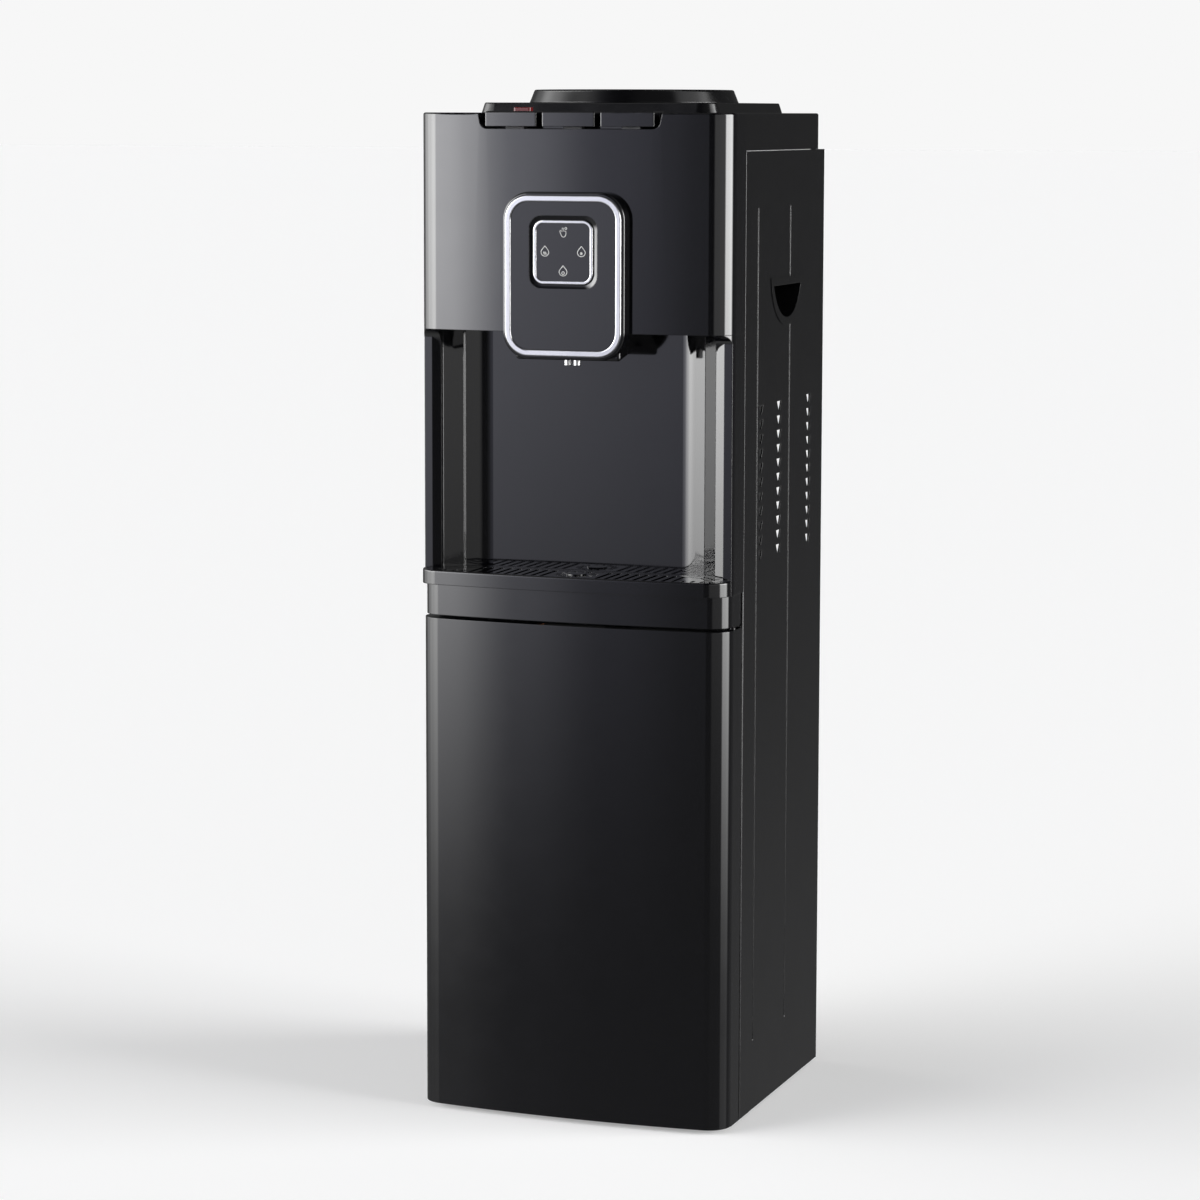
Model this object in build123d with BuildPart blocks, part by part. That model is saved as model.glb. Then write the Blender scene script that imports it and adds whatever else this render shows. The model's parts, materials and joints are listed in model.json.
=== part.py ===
from build123d import *
import math
import os

# Floor-standing hot and cold water dispenser with a bottle on top and a cabinet below.
# Millimetres. X runs across, -Y is the front, +Z is up. The origin is on the floor,
# under the centre of the box around the whole machine.

# Overall size
WIDTH = 310.0
FRONT_Y = -160.0
REAR_Y = 160.0
HEIGHT = 978.0

# Levels, from the floor up
BASE_Z = 4.0
DOOR_TOP_Z = 478.0
BAND_Z = 481.0
TRAY_Z = 511.0
TRAY_TOP_Z = 525.0
CEILING_Z = 753.0
STEEL_TOP_Z = 921.0
DECK_Z = 956.0
TIER_Z = 965.5

# Front mouldings: bowed faces with rounded corners that meet the steel cabinet at the seam
SEAM_Y = -90.0
FACE_Y = -146.0
BOW = 9.0
CORNER_R = 22.0
WALL = 3.0
HALF = WIDTH / 2

# Steel cabinet
STEEL_X = 154.2
SHEET = 1.5

# Alcove plan, right half, from the outer corner to the flat back
PILLAR_FRONT_Y = -124.0
COVE_Z = CEILING_Z - 15.0
BACK_PANEL_Y = -94.0
PILLAR = [(HALF, PILLAR_FRONT_Y), (146.0, PILLAR_FRONT_Y), (137.5, -121.9), (136.3, -119.8),
          (121.5, -105.0), (120.3, -102.8), (103.0, BACK_PANEL_Y)]
COVE_X = PILLAR[2][0]

# Bottle opening
BOTTLE_Y = 34.0
COLLAR_BASE_R = 101.0
COLLAR_TOP_R = 96.5
THROAT_R = 88.0
NECK_R = 29.5

# Control module
MODULE_Z = 806.0
MODULE_W = 120.6
MODULE_H = 155.0
MODULE_R = 26.0
MODULE_FACE_Y = -158.5
RING_W = 5.5
RING_OUTER_W = MODULE_W - 6.0
RING_OUTER_H = MODULE_H - 6.8
RING_OUTER_R = MODULE_R - 3.0
TOUCH_Z = 828.0
TOUCH_W = 59.0

# Dispensing keys
KEY_PITCH = 57.5
KEY_W = 52.0
KEY_PIVOT = (-114.0, 950.0)
PIVOT_R = 1.6
KEY_TOP_Z = 957.5
KEY_FLOOR_Z = 941.0

# Nozzles
NOZZLE_X = 4.5
NOZZLE_Y = -133.0
NOZZLE_R = 3.5
NOZZLE_TIP_Z = 722.0

# Door hinge
HINGE_X = 149.0
HINGE_Y = -104.0
PIN_R = 3.0
DOOR_BACK_Y = -93.0
DOOR_BOTTOM_Z = 4.6

# Cabinet interior
LINER_X = 140.0
LINER_STEP_Z = 235.0

# Tanks
COLD_R = 60.0
HOT_X = 45.0
HOT_Y = 60.0
HOT_R = 50.0
STAND_X = (-24.0, 112.0)
OUTLET_X = 25.0
VALVE_Y = -73.0
VALVE_Z = 774.0

# Hand grips, pressed beads and vents in the steel sides
GRIP_Y = 40.0
GRIP_TOP_Z = 801.0
GRIP_HALF = 51.0
GRIP_DROP = 47.0
RIB_YS = (-50.0, 50.0)
VENT_YS = (-38.0, 19.0, 114.0)
VENT_TOP_Z = 678.0
VENT_PITCH = 13.8
VENT_ROWS = 11

# Feet
FOOT_SPAN = (250.0, 190.0)
FOOT_Y = 35.0

# Refrigeration
COMPRESSOR_X = -40.0
COMPRESSOR_Y = 88.0
CONDENSER_Y = 150.0
CONDENSER_ROWS = 9
CONDENSER_PITCH = 32.0
CONDENSER_LOW_Z = 250.0
CONDENSER_HALF = 118.0

# Rear fittings
REAR_SKIN_Y = 158.4
REAR_PANEL_Z = 690.0
SWITCH_Z = 870.0
SWITCH_XS = (-60.0, -32.0)
ROCKER_Y = 152.0
ROCKER_TILT = -7.0
DRAIN_X = 95.0
DRAIN_Z = 44.0
INLET_X = -105.0
INLET_Z = 44.0
INLET_BORE_R = 3.6

# Drip grille
SLOT_PITCH = 9.2
ROUNDEL_Y = -122.0

os.makedirs("parts", exist_ok=True)


def save(builder, name):
    builder.part.label = name
    export_step(builder.part, f"parts/{name}.step")


def bow_prism(half, face, back, low, high, radius, mode=Mode.ADD):
    """Prism with a bowed front, rounded front corners and a straight back."""
    with BuildSketch(Plane.XY.offset(low)) as plan:
        with BuildLine():
            Polyline((half, face + BOW), (half, back), (-half, back), (-half, face + BOW))
            ThreePointArc((-half, face + BOW), (0, face), (half, face + BOW))
        make_face()
        fillet(plan.vertices().group_by(Axis.Y)[0], radius)
    extrude(plan.sketch, amount=high - low, mode=mode)


def block(x, y, z, mode=Mode.ADD):
    """Box between two limits on each axis."""
    with BuildSketch(Plane.XY.offset(z[0])) as plan:
        with Locations(((x[0] + x[1]) / 2, (y[0] + y[1]) / 2)):
            Rectangle(x[1] - x[0], y[1] - y[0])
    extrude(plan.sketch, amount=z[1] - z[0], mode=mode)


def rod(centre, radius, z, mode=Mode.ADD):
    """Upright cylinder between two heights."""
    with BuildSketch(Plane.XY.offset(z[0])) as plan:
        with Locations(centre):
            Circle(radius)
    extrude(plan.sketch, amount=z[1] - z[0], mode=mode)


def tube(name, routes, radius, bore, bend):
    """Tubes that follow straight runs joined by tangent arcs, one solid for each route."""
    with BuildPart() as pipe:
        for route in routes:
            with BuildLine() as path:
                if len(route) > 2:
                    FilletPolyline(*route, radius=bend)
                else:
                    Line(*route)
            start = Plane(origin=path.line @ 0, z_dir=path.line % 0)
            with BuildSketch(start):
                Circle(radius)
                if bore:
                    Circle(bore, mode=Mode.SUBTRACT)
            sweep(path=path.line)
    save(pipe, name)


def plate_outline(width, height, radius, y, z, depth, mode=Mode.ADD):
    """Rounded rectangle facing the front at y, as thick as depth towards the back."""
    with BuildSketch(Plane(origin=(0, y, z), x_dir=(-1, 0, 0), z_dir=(0, 1, 0))) as plan:
        RectangleRounded(width, height, radius)
    extrude(plan.sketch, amount=depth, mode=mode)


# ---------------------------------------------------------------- steel cabinet


def base_plate():
    with BuildPart() as base:
        block((-152.4, 152.4), (-86.0, 156.0), (BASE_Z, 20.0))
        block((-150.9, 150.9), (-84.5, 154.5), (BASE_Z + SHEET, 20.0), Mode.SUBTRACT)
        with BuildSketch(Plane.XY.offset(BASE_Z)):
            with Locations((0, FOOT_Y)):
                with GridLocations(*FOOT_SPAN, 2, 2):
                    Circle(4.3)
        extrude(amount=SHEET, mode=Mode.SUBTRACT)
    save(base, "base_plate")


def levelling_feet():
    with BuildPart() as feet:
        with BuildSketch():
            with Locations((0, FOOT_Y)):
                with GridLocations(*FOOT_SPAN, 2, 2):
                    Circle(15.0)
        extrude(amount=BASE_Z)
        with BuildSketch(Plane.XY.offset(BASE_Z)):
            with Locations((0, FOOT_Y)):
                with GridLocations(*FOOT_SPAN, 2, 2):
                    Circle(4.0)
        extrude(amount=12.0)
    save(feet, "levelling_feet")


def grip_outline(inset):
    """Shield outline of the hand grip: a flat top over a U."""
    top = GRIP_TOP_Z - inset
    half = GRIP_HALF - inset
    shoulder = GRIP_TOP_Z - 14.0
    bottom = GRIP_TOP_Z - GRIP_DROP + inset
    with BuildSketch(mode=Mode.PRIVATE) as shield:
        with BuildLine():
            Polyline((GRIP_Y - half + 3.0, shoulder), (GRIP_Y - half, top), (GRIP_Y + half, top),
                     (GRIP_Y + half - 3.0, shoulder))
            ThreePointArc((GRIP_Y + half - 3.0, shoulder), (GRIP_Y + 4.0, bottom),
                          (GRIP_Y - half + 3.0, shoulder))
        make_face()
    return shield.sketch


def side_plane(x):
    """Upright plane across the cabinet at x, drawn with Y to the right and Z up."""
    return Plane(origin=(x, 0, 0), x_dir=(0, 1, 0), z_dir=(1, 0, 0))


def back_plane(y):
    """Upright plane that faces the rear at y."""
    return Plane(origin=(0, y, 0), x_dir=(-1, 0, 0), z_dir=(0, 1, 0))


def side_panel(side, name):
    outer = side * STEEL_X
    inner = side * (STEEL_X - SHEET)
    with BuildPart() as panel:
        with BuildSketch(side_plane(inner)):
            with Locations(((SEAM_Y + REAR_Y) / 2, (BASE_Z + STEEL_TOP_Z) / 2)):
                Rectangle(REAR_Y - SEAM_Y, STEEL_TOP_Z - BASE_Z)
        extrude(amount=side * SHEET)
        # Rear edge folded inwards.
        lip = sorted((outer, outer - side * 14.0))
        block(lip, (REAR_Y - SHEET, REAR_Y), (BASE_Z, STEEL_TOP_Z))
        # Two upright beads, pressed in from the outside.
        with BuildSketch(side_plane(inner)):
            with Locations(*[(y, 470.0) for y in RIB_YS]):
                SlotOverall(800.0, 5.0, rotation=90)
        extrude(amount=-side * 1.0)
        with BuildSketch(side_plane(outer)):
            with Locations(*[(y, 470.0) for y in RIB_YS]):
                SlotOverall(799.0, 3.4, rotation=90)
        extrude(amount=-side * 1.2, taper=35, mode=Mode.SUBTRACT)
        # Window for the hand grip.
        with BuildSketch(side_plane(outer)):
            add(grip_outline(5.0))
        extrude(amount=-side * 6.0, mode=Mode.SUBTRACT)
        # Three columns of vent holes, wide at the top and narrow at the bottom.
        with BuildSketch(side_plane(outer)):
            for column in VENT_YS:
                for row in range(VENT_ROWS):
                    with Locations((column, VENT_TOP_Z - row * VENT_PITCH)):
                        Trapezoid(14.0, 8.6, 60.0, rotation=180)
        extrude(amount=-side * 2 * SHEET, mode=Mode.SUBTRACT)
    save(panel, name)


def hand_grip(side, name):
    with BuildPart() as grip:
        # Flange on the outside of the panel and a cup that hangs behind it.
        with BuildSketch(side_plane(side * STEEL_X)):
            add(grip_outline(0.0))
        extrude(amount=side * (HALF - STEEL_X))
        with BuildSketch(side_plane(side * STEEL_X)):
            add(grip_outline(5.4))
        extrude(amount=-side * 28.0)
        with BuildSketch(side_plane(side * HALF)):
            add(grip_outline(8.0))
        extrude(amount=-side * 26.8, mode=Mode.SUBTRACT)
    save(grip, name)


def rear_panel():
    with BuildPart() as rear:
        block((-151.8, 151.8), (156.6, REAR_SKIN_Y), (REAR_PANEL_Z, 915.0))
        # Ventilation slots low down, cut-outs for the two switches high up.
        with BuildSketch(back_plane(REAR_Y)):
            with Locations((0, 760.0)):
                with GridLocations(60.0, 16.0, 4, 6):
                    SlotOverall(44.0, 5.0)
            with Locations((45.0, SWITCH_Z)):
                Rectangle(56.0, 35.0)
        extrude(amount=-5.0, mode=Mode.SUBTRACT)
    save(rear, "rear_panel")


def rear_rail():
    with BuildPart() as rail:
        block((-151.8, 151.8), (156.6, REAR_SKIN_Y), (BASE_Z + 2.0, 76.0))
        with BuildSketch(back_plane(REAR_Y)):
            with Locations((-DRAIN_X, DRAIN_Z)):
                Circle(12.0)
            with Locations((-INLET_X, INLET_Z)):
                Circle(9.0)
        extrude(amount=-5.0, mode=Mode.SUBTRACT)
    save(rail, "rear_rail")


def rear_screws():
    spots = [(x, z) for x in (-128.0, 128.0) for z in (20.0, 62.0, 702.0, 800.0, 900.0)]
    back = back_plane(REAR_SKIN_Y)
    with BuildPart() as screws:
        with BuildSketch(back):
            with Locations(*spots):
                Circle(4.0)
        extrude(amount=1.5)
        chamfer(screws.faces().sort_by(Axis.Y)[-len(spots):].edges(), 0.6)
        with BuildSketch(back.offset(1.5)):
            with Locations(*spots):
                Rectangle(5.0, 0.9)
                Rectangle(0.9, 5.0)
        extrude(amount=-0.8, mode=Mode.SUBTRACT)
    save(screws, "rear_screws")


def front_frame():
    with BuildPart() as frame:
        block((-152.4, 152.4), (SEAM_Y, SEAM_Y + 2.0), (8.0, 479.0))
        block((-130.0, 130.0), (SEAM_Y, SEAM_Y + 2.0), (38.0, 452.0), Mode.SUBTRACT)
    save(frame, "front_frame")


def cabinet_liner():
    with BuildPart() as liner:
        block((-LINER_X, LINER_X), (-88.0, 20.0), (22.0, LINER_STEP_Z + 2.0))
        block((-LINER_X, LINER_X), (-88.0, 100.0), (LINER_STEP_Z, 468.0))
        inside = LINER_X - 2.0
        block((-inside, inside), (-88.0, 18.0), (24.0, LINER_STEP_Z + 2.0), Mode.SUBTRACT)
        block((-inside, inside), (-88.0, 98.0), (LINER_STEP_Z + 2.0, 466.0), Mode.SUBTRACT)
    save(liner, "cabinet_liner")


def cabinet_shelf():
    with BuildPart() as shelf:
        block((-137.5, 137.5), (-70.0, 97.5), (262.0, 265.0))
        block((-137.5, 137.5), (-70.0, -67.0), (258.0, 272.0))
        with BuildSketch(Plane.XY.offset(262.0)):
            with Locations((0, 18.0)):
                with GridLocations(17.0, 130.0, 15, 1):
                    SlotOverall(120.0, 7.0, rotation=90)
        extrude(amount=3.0, mode=Mode.SUBTRACT)
    save(shelf, "cabinet_shelf")


# ---------------------------------------------------------------- front mouldings


def upper_panel():
    with BuildPart() as panel:
        bow_prism(HALF, FACE_Y, SEAM_Y, CEILING_Z, DECK_Z, CORNER_R)
        fillet(panel.faces().sort_by(Axis.Z)[-1].edges().sort_by(Axis.Y)[:-1], 2.0)
        bow_prism(HALF - WALL, FACE_Y + WALL, SEAM_Y, CEILING_Z + WALL, DECK_Z - WALL,
                  CORNER_R - WALL, Mode.SUBTRACT)
        # Well under the keys, open at the top and through the face.
        block((-96.0, 96.0), (-140.0, -106.0), (KEY_FLOOR_Z - 3.0, DECK_Z - 1.0))
        with BuildSketch(Plane.XZ.offset(109.0)) as notch:
            with BuildLine():
                Polyline((-88.0, KEY_FLOOR_Z), (88.0, KEY_FLOOR_Z), (92.0, DECK_Z + 4.0),
                         (-92.0, DECK_Z + 4.0), close=True)
            make_face()
            fillet(notch.vertices().sort_by(Axis.Y)[:2], 8.0)
        extrude(amount=45.0, mode=Mode.SUBTRACT)
        # Holes for the nozzles and the wires of the control module.
        for side in (-1, 1):
            rod((side * NOZZLE_X, NOZZLE_Y), NOZZLE_R + 0.6, (CEILING_Z, CEILING_Z + WALL), Mode.SUBTRACT)
        plate_outline(70.0, 30.0, 6.0, FACE_Y - 2.0, 800.0, 8.0, Mode.SUBTRACT)
    save(panel, "upper_panel")


def alcove_plan(gap=0.0, reach=0.0):
    """Plan of the alcove's front surface, closed at the seam behind it, and grown by a gap."""
    right = [(HALF + reach, SEAM_Y), (HALF + reach, PILLAR_FRONT_Y - gap)]
    right += [(x - gap / 2, y - gap) for x, y in PILLAR[1:]]
    left = [(-x, y) for x, y in reversed(right)]
    with BuildSketch(mode=Mode.PRIVATE) as plan:
        with BuildLine():
            Polyline(*right, *left, close=True)
        make_face()
        fillet([v for v in plan.vertices() if abs(v.Y - BACK_PANEL_Y + gap) < 0.1], 30.0)
        fillet([v for v in plan.vertices() if abs(v.Y - PILLAR_FRONT_Y + gap) < 0.1], 1.5)
    return plan.sketch


def alcove_moulding():
    with BuildPart() as alcove:
        with BuildSketch(Plane.XY.offset(TRAY_Z)):
            add(alcove_plan())
        extrude(amount=CEILING_Z - TRAY_Z)
        block((-110.0, 110.0), (SEAM_Y - 1.5, SEAM_Y), (TRAY_Z, CEILING_Z), Mode.SUBTRACT)
        # The pillars are hollow from the back.
        with BuildSketch(Plane.XY.offset(TRAY_Z)):
            for side in (-1, 1):
                with BuildLine():
                    Polyline((side * 152.2, -85.0), (side * 152.2, -120.8), (side * 138.0, -118.6),
                             (side * 123.3, -103.0), (side * 118.6, -97.0), (side * 118.6, -85.0), close=True)
                make_face()
        extrude(amount=CEILING_Z - TRAY_Z, mode=Mode.SUBTRACT)
        # The top of each pillar sweeps forward to meet the face above it.
        for side in (-1, 1):
            with BuildSketch(side_plane(side * COVE_X)):
                with BuildLine():
                    Polyline((-119.0, COVE_Z), (-119.0, CEILING_Z), (-136.5, CEILING_Z))
                    ThreePointArc((-136.5, CEILING_Z), (-126.5, CEILING_Z - 4.5), (-122.2, COVE_Z))
                    Line((-122.2, COVE_Z), (-119.0, COVE_Z))
                make_face()
            extrude(amount=side * (HALF - COVE_X))
        bow_prism(HALF, FACE_Y, SEAM_Y + 0.1, TRAY_Z, CEILING_Z, CORNER_R, Mode.INTERSECT)
    save(alcove, "alcove_moulding")


def lower_band():
    with BuildPart() as band:
        bow_prism(HALF - 2.0, FACE_Y + 2.0, SEAM_Y, BAND_Z, TRAY_Z, CORNER_R - 2.0)
        bow_prism(HALF - 5.0, FACE_Y + 5.0, SEAM_Y, BAND_Z + WALL, TRAY_Z - WALL,
                  CORNER_R - 5.0, Mode.SUBTRACT)
    save(band, "lower_band")


def tray_plan(inset):
    """Plan of the drip tray: the bowed front, cut away round the pillars."""
    half = HALF - 0.8 - inset
    face = FACE_Y - 7.0 + inset
    with BuildSketch(mode=Mode.PRIVATE) as plan:
        with BuildLine():
            Polyline((half, face + BOW), (half, SEAM_Y), (-half, SEAM_Y), (-half, face + BOW))
            ThreePointArc((-half, face + BOW), (0, face), (half, face + BOW))
        make_face()
        fillet(plan.vertices().group_by(Axis.Y)[0], CORNER_R - inset)
        add(alcove_plan(gap=1.0 + inset, reach=10.0), mode=Mode.SUBTRACT)
    return plan.sketch


def drip_tray():
    with BuildPart() as tray:
        with BuildSketch(Plane.XY.offset(TRAY_Z + 0.2)):
            add(tray_plan(0.0))
        extrude(amount=TRAY_TOP_Z - TRAY_Z - 0.2)
        fillet(tray.edges().group_by(Axis.Z)[-1].sort_by(Axis.Y)[:3], 1.6)
        with BuildSketch(Plane.XY.offset(TRAY_Z + 2.2)):
            add(tray_plan(5.0))
        extrude(amount=TRAY_TOP_Z, mode=Mode.SUBTRACT)
        with BuildSketch(Plane.XY.offset(TRAY_TOP_Z - 4.0)):
            add(tray_plan(2.6))
        extrude(amount=20.0, mode=Mode.SUBTRACT)
    save(tray, "drip_tray")


def drip_grille():
    with BuildPart() as grille:
        with BuildSketch(Plane.XY.offset(TRAY_TOP_Z - 3.9)):
            add(tray_plan(2.9))
        extrude(amount=3.2)
        with BuildSketch(Plane.XY.offset(TRAY_TOP_Z - 3.9)):
            for step in range(-15, 16):
                x = step * SLOT_PITCH
                front = FACE_Y - 7.0 + BOW * (x / HALF) ** 2 + 8.5
                back = -101.5 if abs(x) < 106.0 else -128.5
                if abs(x) < 21.0:
                    continue
                with Locations((x, (front + back) / 2)):
                    SlotOverall(back - front, 3.8, rotation=90)
            with Locations((0, ROUNDEL_Y)):
                with PolarLocations(17.0, 16):
                    SlotOverall(7.0, 3.0)
        extrude(amount=3.2, mode=Mode.SUBTRACT)
        rod((0, ROUNDEL_Y), 9.5, (TRAY_TOP_Z - 1.0, TRAY_TOP_Z + 0.3))
    save(grille, "drip_grille")


# ---------------------------------------------------------------- control module


def module_shell():
    with BuildPart() as module:
        plate_outline(MODULE_W, MODULE_H, MODULE_R, MODULE_FACE_Y, MODULE_Z, FACE_Y - MODULE_FACE_Y + 2.0)
        fillet(module.faces().sort_by(Axis.Y)[0].edges(), 2.5)
        bow_prism(HALF, FACE_Y, SEAM_Y, CEILING_Z, DECK_Z, CORNER_R, Mode.SUBTRACT)
        block((-70.0, 70.0), (-147.0, -120.0), (700.0, CEILING_Z), Mode.SUBTRACT)
        # Pocket for the circuit board, groove for the bright ring, recess for the touch plate.
        plate_outline(96.0, 104.0, 8.0, MODULE_FACE_Y + 5.5, 812.0, 30.0, Mode.SUBTRACT)
        plate_outline(RING_OUTER_W, RING_OUTER_H, RING_OUTER_R, MODULE_FACE_Y, MODULE_Z, 1.0, Mode.SUBTRACT)
        plate_outline(RING_OUTER_W - 2 * RING_W, RING_OUTER_H - 2 * RING_W, RING_OUTER_R - RING_W,
                      MODULE_FACE_Y, MODULE_Z, 1.0)
        plate_outline(TOUCH_W + 8.0, TOUCH_W + 8.0, 12.0, MODULE_FACE_Y, TOUCH_Z, 2.5, Mode.SUBTRACT)
    save(module, "module_shell")


def module_ring():
    with BuildPart() as ring:
        plate_outline(RING_OUTER_W, RING_OUTER_H, RING_OUTER_R, FRONT_Y, MODULE_Z, 2.5)
        plate_outline(RING_OUTER_W - 2 * RING_W, RING_OUTER_H - 2 * RING_W, RING_OUTER_R - RING_W,
                      FRONT_Y, MODULE_Z, 2.5, Mode.SUBTRACT)
        fillet(ring.faces().sort_by(Axis.Y)[0].edges(), 1.0)
    save(ring, "module_ring")


def touch_bezel():
    with BuildPart() as bezel:
        plate_outline(TOUCH_W, TOUCH_W, 10.0, MODULE_FACE_Y - 0.5, TOUCH_Z, 3.0)
        plate_outline(TOUCH_W - 6.0, TOUCH_W - 6.0, 7.0, MODULE_FACE_Y - 0.5, TOUCH_Z, 3.0, Mode.SUBTRACT)
        fillet(bezel.faces().sort_by(Axis.Y)[0].edges(), 0.8)
    save(bezel, "touch_bezel")


def touch_plate():
    with BuildPart() as plate:
        plate_outline(TOUCH_W - 6.4, TOUCH_W - 6.4, 6.8, MODULE_FACE_Y + 0.6, TOUCH_Z, 1.9)
    save(plate, "touch_plate")


def touch_board():
    with BuildPart() as board:
        plate_outline(88.0, 96.0, 3.0, -151.5, 812.0, 1.6)
        plate_outline(30.0, 12.0, 0.5, -149.9, 790.0, 3.0)
    save(board, "touch_board")


def nozzle_housing():
    with BuildPart() as housing:
        with BuildSketch(side_plane(-52.0)) as profile:
            with BuildLine():
                Polyline((-147.0, CEILING_Z), (-147.0, 727.0), (-128.0, 731.0), (-94.4, 746.0),
                         (-94.4, CEILING_Z), close=True)
            make_face()
        extrude(amount=104.0)
        fillet(housing.edges().filter_by(Axis.X).sort_by(Axis.Z)[:1], 3.0)
        sides = [edge for edge in housing.edges() if abs(edge.center().Y + 137.5) < 3.5 and edge.length < 30]
        fillet(sorted(sides, key=lambda edge: edge.center().Z)[:2], 3.0)
        block((-49.0, 49.0), (-144.0, -97.0), (738.0, CEILING_Z), Mode.SUBTRACT)
        for side in (-1, 1):
            rod((side * NOZZLE_X, NOZZLE_Y), NOZZLE_R + 0.1, (700.0, 745.0), Mode.SUBTRACT)
    save(housing, "nozzle_housing")


def nozzle(side, name):
    with BuildPart() as spout:
        rod((side * NOZZLE_X, NOZZLE_Y), NOZZLE_R, (NOZZLE_TIP_Z, 770.0))
        chamfer(spout.edges().group_by(Axis.Z)[0], 0.5)
        rod((side * NOZZLE_X, NOZZLE_Y), 2.3, (NOZZLE_TIP_Z, 770.0), Mode.SUBTRACT)
    save(spout, name)


# ---------------------------------------------------------------- keys


def pivot_bar(x, length, centre):
    """Round bar across the machine from x, centred on a hinge line given by its Y and Z."""
    with BuildSketch(side_plane(x)) as section:
        with Locations(centre):
            Circle(PIVOT_R)
    extrude(section.sketch, amount=length)


def key(index, name):
    centre = (index - 1) * KEY_PITCH
    low = KEY_FLOOR_Z + 2.4
    half = KEY_W / 2
    with BuildPart() as cap:
        block((centre - half, centre + half), (-150.0, -113.0), (low, KEY_TOP_Z))
        bow_prism(HALF, FACE_Y - 0.3, SEAM_Y, low - 1.0, KEY_TOP_Z, CORNER_R, Mode.INTERSECT)
        fillet(cap.edges().filter_by(Axis.Z).sort_by(Axis.Y)[:2], 1.2)
        fillet(cap.edges().group_by(Axis.Z)[-1].sort_by(Axis.Y)[:1], 2.2)
        inside = (centre - half + 2.0, centre + half - 2.0)
        block(inside, (-143.2, -112.0), (low - 1.0, KEY_TOP_Z - 2.5), Mode.SUBTRACT)
        pivot_bar(centre - half, KEY_W, KEY_PIVOT)
    save(cap, name)


def child_lock():
    with BuildPart() as slider:
        block((-61.0, -44.0), (-129.0, -120.0), (KEY_TOP_Z, KEY_TOP_Z + 3.5))
        fillet(slider.edges().filter_by(Axis.Z), 2.0)
        fillet(slider.faces().sort_by(Axis.Z)[-1].edges(), 0.8)
        for step in (-4.0, 0.0, 4.0):
            x = -52.5 + step
            block((x - 0.6, x + 0.6), (-130.0, -119.0), (KEY_TOP_Z + 2.8, KEY_TOP_Z + 4.0), Mode.SUBTRACT)
    save(slider, "child_lock_slider")


def key_switches():
    with BuildPart() as switches:
        for index in range(3):
            x = (index - 1) * KEY_PITCH
            block((x - 9.0, x + 9.0), (-134.0, -125.0), (KEY_FLOOR_Z, 951.0))
            rod((x, -129.5), 1.6, (951.0, 953.2))
    save(switches, "key_switches")


# ---------------------------------------------------------------- top and bottle seat


def top_cover():
    with BuildPart() as cover:
        block((-153.0, 153.0), (-89.8, 151.0), (STEEL_TOP_Z + 0.3, DECK_Z))
        fillet(cover.edges().filter_by(Axis.Z).sort_by(Axis.Y)[-2:], 10.0)
        fillet(cover.faces().sort_by(Axis.Z)[-1].edges().sort_by(Axis.Y)[1:], 2.0)
        # Raised tier that carries the bottle collar.
        with BuildSketch(Plane.XY.offset(DECK_Z - 0.5)):
            with Locations((0, BOTTLE_Y)):
                RectangleRounded(239.0, 224.0, 18.0)
        extrude(amount=TIER_Z - DECK_Z + 0.5, taper=18)
        fillet(cover.faces().sort_by(Axis.Z)[-1].edges(), 1.5)
        block((-150.0, 150.0), (-86.8, 148.0), (STEEL_TOP_Z, DECK_Z - WALL), Mode.SUBTRACT)
        with BuildSketch(Plane.XY.offset(DECK_Z - WALL)):
            with Locations((0, BOTTLE_Y)):
                RectangleRounded(226.0, 211.0, 14.0)
        extrude(amount=TIER_Z - DECK_Z, mode=Mode.SUBTRACT)
        rod((0, BOTTLE_Y), THROAT_R + 3.0, (DECK_Z - WALL, TIER_Z))
        rod((0, BOTTLE_Y), THROAT_R, (DECK_Z - 10.0, TIER_Z + 1.0), Mode.SUBTRACT)
    save(cover, "top_cover")


def bottle_collar():
    """Lift-out ring with a funnel that guides the bottle's neck down to the tank."""
    with BuildPart() as collar:
        with BuildSketch(Plane.XZ.offset(-BOTTLE_Y)):
            with BuildLine():
                Line((COLLAR_BASE_R, TIER_Z + 0.2), (COLLAR_TOP_R + 0.4, HEIGHT - 2.0))
                ThreePointArc((COLLAR_TOP_R + 0.4, HEIGHT - 2.0), (COLLAR_TOP_R - 0.5, HEIGHT - 0.5),
                              (COLLAR_TOP_R - 2.0, HEIGHT))
                Line((COLLAR_TOP_R - 2.0, HEIGHT), (COLLAR_TOP_R - 4.5, HEIGHT))
                Polyline((COLLAR_TOP_R - 4.5, HEIGHT), (90.0, HEIGHT - 3.0), (90.0, 969.0), (34.0, 947.0),
                         (NECK_R, 942.0), (NECK_R, 906.0), (NECK_R + 3.0, 906.0), (NECK_R + 3.0, 941.0),
                         (35.5, 944.0), (86.5, 963.5), (86.5, TIER_Z + 0.2), (COLLAR_BASE_R, TIER_Z + 0.2))
            make_face()
        revolve(axis=Axis((0, BOTTLE_Y, 0), (0, 0, 1)))
    save(collar, "bottle_collar")


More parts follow.
